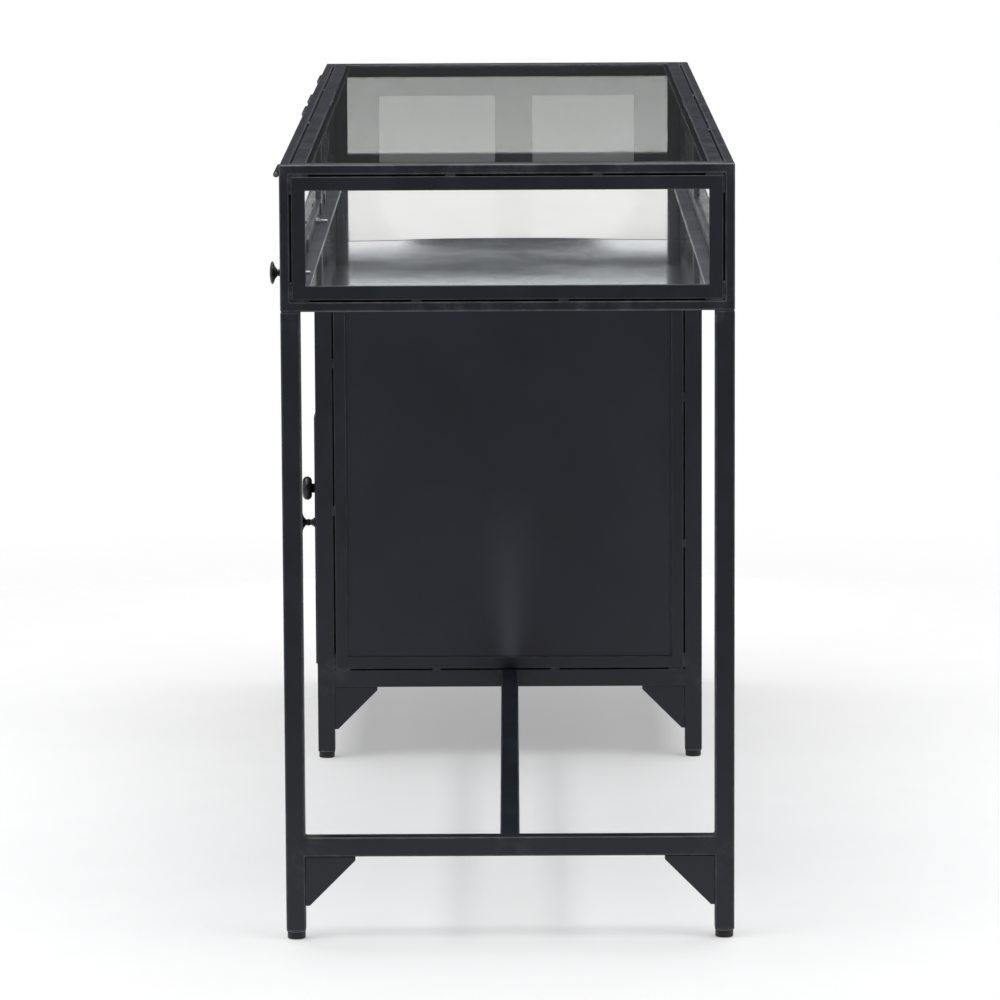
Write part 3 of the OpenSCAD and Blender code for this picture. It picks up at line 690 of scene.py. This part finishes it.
def knob_outline(radius, reach):
    """Flat button on a waisted neck, with a foot that sits on the frame."""
    neck = 0.0034
    foot = 0.0056
    dome = 0.0026
    rim = reach - dome
    under = [(radius * 0.55, rim - 0.0031), (radius * 0.82, rim - 0.0019)]
    lip = arc((radius - 0.0007, rim - 0.0004), 0.0007, -80, 30, 5)
    turns = [math.radians(angle) for angle in range(15, 90, 9)]
    crown = [(radius * math.cos(t), rim + dome * math.sin(t)) for t in turns]
    waist = arc((neck + 0.0035, 0.0050), 0.0035, 225, 140, 8)
    base = [(0, 0), (foot, 0), (foot, 0.0011), (foot - 0.0006, 0.0016)]
    return [*base, *waist, (neck, rim - 0.0058), *under, *lip, *crown, (0, reach)]


def out_of_front(x, y, z):
    """Local Z turned to point out of the front of the desk."""
    return Matrix.Translation((x, y, z)) @ Matrix.Rotation(math.radians(90), 4, "X")


def add_knobs(name, node, body):
    low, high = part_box(node)
    radius = (high.z - low.z) / 2
    middle = (high.z + low.z) / 2
    bm = bmesh.new()
    for x in sorted({round(low.x + radius, 5), round(high.x - radius, 5)}):
        add_turned(bm, knob_outline(radius, high.y - low.y), out_of_front(x, high.y, middle))
    finish_turned(bm)
    add_piece(bm, name, body, "knob_black", knob_black, node)


def add_studs(name, node, body):
    rounded_copy(name, body, "bare_steel", bare_steel, THREAD_ROUND, node)


for flap in ("long_flap", "short_flap"):
    rounded_copy(flap + "_iron_frame", flap, "black_iron", iron, FRAME_ROUND, flap + "_frame")
    rounded_copy(flap + "_pane", flap, "clear_glass", side_glass, GLASS_ROUND, flap + "_glass")
    rounded_copy(flap + "_glazing_beads", flap, "black_iron", iron, BEAD_ROUND, flap + "_beads")
    rounded_copy(flap + "_hinges", flap, "black_iron", iron, LEAF_ROUND, flap + "_hinge_leaves")
add_knobs("long_flap_turned_knobs", "long_flap_knobs", "long_flap")
add_knobs("short_flap_turned_knob", "short_flap_knob", "short_flap")
add_studs("long_flap_studs", "long_flap_knob_studs", "long_flap")
add_studs("short_flap_stud", "short_flap_knob_stud", "short_flap")


# ---------------------------------------------------------------- legs and low rails
# Two legs of 20 mm square tube carry the open end, tied by a low rail. A stretcher of the
# same tube runs back to the pedestal. Joints are welded and filed.

TUBE_ROUND = 0.0019
PLATE_ROUND = 0.0006
INTO = 0.001
TUBE_GROUND_REACH = 0.03

leg_low, leg_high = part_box("near_legs")
rail_low, rail_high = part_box("near_low_rail")
strut_low, strut_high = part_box("stretcher")
leg_blocks = [
    ((leg_low.x, y0, leg_low.z), (leg_high.x, y1, leg_high.z))
    for y0, y1 in spans(leg_low.y, leg_high.y, TUBE)
]
leg_blocks.append((
    (rail_low.x, leg_low.y + INTO, rail_low.z),
    (rail_high.x, leg_high.y - INTO, rail_high.z),
))
leg_blocks.append((tuple(strut_low), (strut_high.x + INTO, strut_high.y, strut_high.z)))
leg_spots = [Vector((leg_high.x, y, rail_low.z)) for y in (leg_low.y + TUBE, leg_high.y - TUBE)]
leg_spots += [Vector((leg_high.x, y, leg_high.z)) for y in (leg_low.y, leg_high.y)]
leg_spots.append(Vector((leg_high.x, (strut_low.y + strut_high.y) / 2, rail_low.z)))
bm = welded(leg_blocks)
round_edges(bm, TUBE_ROUND)
for cut in GROUND_CUTS:
    cut_across(bm, 2, (rail_low.z - cut, rail_high.z + cut, leg_high.z - cut))
    cut_across(bm, 1, (leg_low.y + TUBE + cut, leg_high.y - TUBE - cut))
    cut_across(bm, 1, (strut_low.y - cut, strut_high.y + cut))
mark_ground(bm, leg_spots, TUBE_GROUND_REACH)
add_piece(bm, "legs_and_rails", "root", "black_iron", iron, "near_legs", "near_low_rail", "stretcher")

rounded_copy("gusset_plates", "root", "black_iron", iron, PLATE_ROUND, "gussets")


# ---------------------------------------------------------------- glides
# Black moulded plastic feet with rounded rims, pressed into the open ends of the tubes. Each
# has a thin plated washer on top, which shows as a bright line.

GLIDE_BLACK, GLIDE_WORN = (0.012, 0.012, 0.013), (0.03, 0.03, 0.032)
glide_black = iron_paint(
    "black_moulded_plastic", GLIDE_BLACK, GLIDE_WORN, rough=(0.4, 0.55), scale=90.0, bump=0.08,
    edge=0.2, ground=0.0,
)

GLIDE_R = post_low.x + TUBE / 2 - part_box("glides")[0].x
WASHER = 0.001
glide_top = leg_low.z
glides, washers = bmesh.new(), bmesh.new()
for x in (post_low.x + TUBE / 2, post_high.x - TUBE / 2, leg_high.x - TUBE / 2):
    for y in (leg_low.y + TUBE / 2, leg_high.y - TUBE / 2):
        place = Matrix.Translation((x, y, 0))
        side = arc((GLIDE_R - 0.0012, 0.0012), 0.0012, -90, 0, 5)
        upper = arc((GLIDE_R - 0.0007, glide_top - 0.0017), 0.0007, 0, 90, 4)
        add_turned(glides, [(0, 0), *side, *upper, (0, glide_top - WASHER)], place)
        plate = arc((GLIDE_R - 0.0002, glide_top - WASHER / 2), WASHER / 2, -90, 90, 6)
        add_turned(washers, [(0, glide_top - WASHER), *plate, (0, glide_top)], place)
finish_turned(glides)
finish_turned(washers)
add_piece(glides, "moulded_glides", "root", "glide_plastic", glide_black, "glides")
add_piece(washers, "glide_washers", "root", "bare_steel", bare_steel)


# ---------------------------------------------------------------- pedestal
# A welded cage of the same tube with sheet-steel panels set into rebated frames on three
# sides. A shelf and two bars part the cupboard below from the drawer above. The near panel
# has a pale patch painted where the stretcher meets it: a painted reflection of the stretcher.

low_rail_low, low_rail_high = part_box("pedestal_bottom_rails")
high_rail_low, high_rail_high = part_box("pedestal_top_rails")
divider_low, divider_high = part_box("divider_bars")
cage_blocks = []
for x0, x1 in spans(post_low.x, post_high.x, TUBE):
    for y0, y1 in spans(post_low.y, post_high.y, TUBE):
        cage_blocks.append(((x0, y0, post_low.z), (x1, y1, post_high.z)))
for z0, z1 in ((low_rail_low.z, low_rail_high.z), (high_rail_low.z, high_rail_high.z)):
    for y0, y1 in spans(post_low.y, post_high.y, TUBE):
        cage_blocks.append(((post_low.x + INTO, y0, z0), (post_high.x - INTO, y1, z1)))
    for x0, x1 in spans(post_low.x, post_high.x, TUBE):
        cage_blocks.append(((x0, post_low.y + INTO, z0), (x1, post_high.y - INTO, z1)))
for y0, y1 in spans(divider_low.y, divider_high.y, TUBE):
    cage_blocks.append((
        (divider_low.x - INTO, y0, divider_low.z),
        (divider_high.x + INTO, y1, divider_high.z),
    ))
cage_spots = [
    Vector((x, y, z))
    for x in (post_low.x, post_high.x)
    for y in (post_low.y + TUBE / 2, post_high.y - TUBE / 2)
    for z in (low_rail_low.z + TUBE / 2, high_rail_low.z + TUBE / 2)
]
cage_spots.append(Vector((post_high.x, (strut_low.y + strut_high.y) / 2, rail_high.z)))
bm = welded(cage_blocks)
round_edges(bm, TUBE_ROUND)
for cut in GROUND_CUTS:
    cut_across(bm, 2, (low_rail_low.z - cut, low_rail_high.z + cut, high_rail_low.z - cut))
    cut_across(bm, 1, (post_low.y + TUBE + cut, post_high.y - TUBE - cut))
    cut_across(bm, 1, (strut_low.y - cut, strut_high.y + cut))
mark_ground(bm, cage_spots, TUBE_GROUND_REACH)
add_piece(
    bm, "pedestal_cage", "root", "black_iron", iron,
    "pedestal_posts", "pedestal_bottom_rails", "pedestal_top_rails", "divider_bars",
)

SHEET_BLACK = (0.0125, 0.0135, 0.0235)
# The pedestal panels are a little lighter and bluer than the other sheets. The pale colour is used for
# worn edges and for a painted reflection of the stretcher on the near panel.
PEDESTAL_PANEL_BLACK, PANEL_WEAR_AND_GLOW = (0.0165, 0.0172, 0.0285), (0.27, 0.28, 0.33)
sheet_black = iron_paint(
    "satin_black_sheet", SHEET_BLACK, IRON_WORN, rough=(0.36, 0.46), scale=5.0, grain=1200.0,
    bump=0.05, edge=0.4, ground=0.0,
)

SHEET_ROUND = 0.0003
rounded_copy("pedestal_panel_frames", "root", "black_iron", iron, FRAME_ROUND, "panel_frames")
for name in ("cabinet_floor", "divider_shelf"):
    rounded_copy(name + "_sheet", "root", "black_sheet", sheet_black, SHEET_ROUND, name)

sheet_with_painted_glow = iron_paint(
    "satin_black_sheet_painted_glow", PEDESTAL_PANEL_BLACK, PANEL_WEAR_AND_GLOW, rough=(0.34, 0.44), scale=5.0, grain=1200.0,
    bump=0.04, edge=0.1, ground=0.3, even=0.6,
)
# A pale patch painted on the near panel above the stretcher, narrow at its foot and widening and fading
# upward: a painted reflection of the stretcher, held in the ground mark.
GLOW_HIGH = 0.25
GLOW_FOOT, GLOW_SPREAD = 0.009, 0.03
GLOW_STEP, GLOW_RUNG = 0.006, 0.01
bm = cad_copy("pedestal_panels")
round_edges(bm, SHEET_ROUND, 2)
middle = (strut_low.y + strut_high.y) / 2
cut_across(bm, 1, [middle + GLOW_STEP * i for i in range(-9, 10)])
cut_across(bm, 2, [strut_high.z + GLOW_RUNG * i for i in range(1, 26)])
mark = bm.verts.layers.float.new("ground")
for vert in bm.verts:
    share = 1.0 - min(1.0, max(0.0, vert.co.z - strut_high.z) / GLOW_HIGH)
    width = GLOW_FOOT + GLOW_SPREAD * (1.0 - share)
    if post_high.x - vert.co.x < TUBE:
        vert[mark] = math.exp(-(((vert.co.y - middle) / width) ** 2)) * share ** 1.4
add_piece(bm, "pedestal_panels_sheet", "root", "black_sheet", sheet_with_painted_glow, "pedestal_panels")


# ---------------------------------------------------------------- door
# A framed door with a sheet panel hangs on two butt hinges. It has a turned pull and a
# thumb latch, whose spindle carries a flat cam behind the frame.

DOOR_ROUND, CAM_ROUND = 0.0007, 0.0004
rounded_copy("door_iron_frame", "door", "black_iron", iron, DOOR_ROUND, "door_frame")
rounded_copy("door_sheet", "door", "black_sheet", sheet_black, SHEET_ROUND, "door_panel")
rounded_copy("door_hinges", "door", "black_iron", iron, LEAF_ROUND, "door_hinge_leaves")
rounded_copy("post_hinge_leaves", "root", "black_iron", iron, LEAF_ROUND, "door_hinge_fixed_leaves")
rounded_copy("door_hinge_rods", "root", "bare_steel", bare_steel, PIN_ROUND, "door_hinge_pins")
add_knobs("door_turned_pull", "door_pull", "door")
add_studs("door_pull_fixing", "door_pull_stud", "door")

latch_low, latch_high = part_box("latch_knob")
door_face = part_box("door_frame")[0].y
LATCH_R = (latch_high.z - latch_low.z) / 2
SPINDLE_R = 0.004
FOOT_R, FOOT_HIGH = 0.0055, 0.003
LATCH_GAP = 0.0003
latch_reach = door_face - LATCH_GAP - latch_low.y
latch_x, latch_z = (latch_low.x + latch_high.x) / 2, (latch_low.z + latch_high.z) / 2
spindle_end = latch_reach - (latch_high.y - latch_low.y)
body_r = (latch_reach - FOOT_HIGH) / 2
crown = arc((LATCH_R - body_r, FOOT_HIGH + body_r), body_r, -75, 90, 16)
outline = [(0, spindle_end), (SPINDLE_R, spindle_end)]
outline += [(SPINDLE_R, 0), (FOOT_R, 0), (FOOT_R, FOOT_HIGH), *crown, (0, latch_reach)]
bm = bmesh.new()
add_turned(bm, outline, out_of_front(latch_x, latch_low.y + latch_reach, latch_z))
finish_turned(bm)
add_piece(bm, "latch_thumb_knob", "latch", "knob_black", knob_black, "latch_knob")
rounded_copy("latch_flat_cam", "latch", "bare_steel", bare_steel, CAM_ROUND, "latch_cam")


# ---------------------------------------------------------------- drawer
# A box and a front of folded sheet steel, painted black. Plated bars on the box's sides run
# in two channels that are fixed to the cage.

FOLD_ROUND, SLIDE_ROUND, CHANNEL_ROUND = 0.0006, 0.0004, 0.0002
rounded_copy("drawer_folded_front", "drawer", "black_sheet", sheet_black, FOLD_ROUND, "drawer_front")
rounded_copy("drawer_folded_box", "drawer", "black_sheet", sheet_black, SHEET_ROUND, "drawer_box")
rounded_copy("drawer_slide_bars", "drawer", "bare_steel", bare_steel, SLIDE_ROUND, "drawer_slides")
rounded_copy("drawer_channels", "root", "bare_steel", bare_steel, CHANNEL_ROUND, "drawer_runners")
add_knobs("drawer_turned_knob", "drawer_knob", "drawer")
add_studs("drawer_knob_fixing", "drawer_knob_stud", "drawer")


# ---------------------------------------------------------------- studio
# A pale floor that fades to white, soft lights overhead and at the sides, and, beyond the
# pedestal end, a bright low card and two faint windows for the glass and the steel to show.

FLOOR_R = 7.0
FLOOR_PALE = (0.50, 0.50, 0.505)
FLOOR_LIFT = 0.37
FADE = (0.9, 2.2)

floor_paint, tree, shader, out = new_material("studio_floor")
place = add_node(tree, "TexCoord").outputs["Object"]
mottle = use_group(tree, MOTTLE, Scale=9.0, Grain=70.0)
tree.links.new(
    blend_colours(tree, mottle.outputs["Tone"], tuple(c * 0.975 for c in FLOOR_PALE), FLOOR_PALE),
    shader.inputs["Base Color"],
)
shader.inputs["Roughness"].default_value = 0.9
shader.inputs["Specular IOR Level"].default_value = 0.2
shader.inputs["Emission Color"].default_value = (1, 1, 1, 1)
shader.inputs["Emission Strength"].default_value = FLOOR_LIFT
distance = add_node(tree, "VectorMath", [(0, place)], operation="LENGTH").outputs["Value"]
fade = map_range(tree, distance, *FADE, 0.0, 1.0)
clear = add_node(tree, "BsdfTransparent")
mixed = add_node(tree, "MixShader", [(0, fade), (1, shader.outputs[0]), (2, clear.outputs[0])])
tree.links.new(mixed.outputs[0], out.inputs["Surface"])
bm = bmesh.new()
bmesh.ops.create_circle(bm, cap_ends=True, segments=96, radius=FLOOR_R)
mesh = bpy.data.meshes.new("studio_floor")
bm.to_mesh(mesh)
bm.free()
mesh.materials.append(floor_paint)
floor = bpy.data.objects.new("studio_floor", mesh)
bpy.context.scene.collection.objects.link(floor)

WHITE_SEEN = 1.0
GROUND_LIGHT = 0.8
HORIZON_LIGHT = 0.29
SKY_LIGHT = 0.03

world = bpy.data.worlds.new("studio")
bpy.context.scene.world = world
world.use_nodes = True
tree = world.node_tree
tree.nodes.clear()
direction = add_node(tree, "SeparateXYZ", [(0, add_node(tree, "TexCoord").outputs["Generated"])])
ground = map_range(tree, direction.outputs["Z"], -0.35, -0.15, GROUND_LIGHT, HORIZON_LIGHT)
below = map_range(tree, direction.outputs["Z"], -0.03, 0.02, 1.0, 0.0)
strength = math_node(tree, "MULTIPLY_ADD", ground, below, SKY_LIGHT)
path = add_node(tree, "LightPath").outputs
unturned = math_node(tree, "LESS_THAN", path["Glossy Depth"], 0.5)
through = math_node(tree, "MULTIPLY", path["Is Transmission Ray"], unturned)
seen = math_node(tree, "MAXIMUM", path["Is Camera Ray"], through)
level = add_node(tree, "Mix", [(0, seen), (2, strength), (3, WHITE_SEEN)], data_type="FLOAT").outputs[0]
glow = add_node(tree, "Background", [("Strength", level)])
glow.inputs["Color"].default_value = (1, 1, 1, 1)
add_node(tree, "OutputWorld", [("Surface", glow.outputs[0])])


def soft_light(name, place, target, size, radiance, tint=(1, 1, 1)):
    """A large rectangular light, wide by high, that the camera does not see."""
    data = bpy.data.lights.new(name, "AREA")
    data.shape, (data.size, data.size_y) = "RECTANGLE", size
    data.energy = radiance * math.pi * size[0] * size[1]
    data.color = tint
    lamp = bpy.data.objects.new(name, data)
    bpy.context.scene.collection.objects.link(lamp)
    lamp.location = place
    lamp.rotation_mode = "QUATERNION"
    lamp.rotation_quaternion = (Vector(target) - Vector(place)).to_track_quat("-Z", "Y")
    lamp.visible_camera = False


CARD_X = -1.6
CARD_Y = 0.01
CARD_WIDE, CARD_TOP = 0.6, 0.846
CARD_WARM = (1.0, 0.96, 0.94)
WINDOW_X, WINDOW_Z, WINDOW_HIGH = -10.0, 1.62, 0.24
soft_light("overhead", (0.2, 0.0, 3.2), (0.2, 0.0, 0.0), (4.4, 4.4), 3.6)
for side in (-1, 1):
    soft_light("side_light", (0.3, 3.4 * side, 1.3), (0.0, 0.0, 0.2), (4.5, 2.4), 1.1)
card_place, card_target = (CARD_X, CARD_Y, CARD_TOP / 2), (0, CARD_Y, CARD_TOP / 2)
soft_light("card", card_place, card_target, (CARD_WIDE, CARD_TOP), 1.1, CARD_WARM)
for y, width in ((-0.197, 0.334), (0.225, 0.293)):
    window_place, window_target = (WINDOW_X, y, WINDOW_Z), (0, y, WINDOW_Z)
    soft_light("far_window", window_place, window_target, (width, WINDOW_HIGH), 0.11)


# ---------------------------------------------------------------- camera
# Long lens at chest height, nearly six metres back, looking down the length of the desk from
# its open end.

EYE_BEYOND = 5.6956
EYE_ASIDE = 0.0034
EYE_HEIGHT = 1.2723
YAW = math.radians(-0.12)
PITCH = math.radians(8.19)
ROLL = math.radians(-0.28)
LENS = 205.3

data = bpy.data.cameras.new("camera")
data.lens, data.sensor_width = LENS, 36
data.clip_end = 100
camera = bpy.data.objects.new("camera", data)
bpy.context.scene.collection.objects.link(camera)
ahead = Vector((-math.cos(PITCH) * math.cos(YAW), math.cos(PITCH) * math.sin(YAW), -math.sin(PITCH)))
level_right = Vector((math.sin(YAW), math.cos(YAW), 0))
level_up = level_right.cross(ahead)
right = level_right * math.cos(ROLL) + level_up * math.sin(ROLL)
up = level_up * math.cos(ROLL) - level_right * math.sin(ROLL)
turn = Matrix((right, up, -ahead)).transposed().to_4x4()
eye = Vector((box_high.x + EYE_BEYOND, (box_low.y + box_high.y) / 2 + EYE_ASIDE, EYE_HEIGHT))
camera.matrix_world = Matrix.Translation(eye) @ turn
bpy.context.scene.camera = camera
bpy.context.scene.view_settings.view_transform = "Standard"
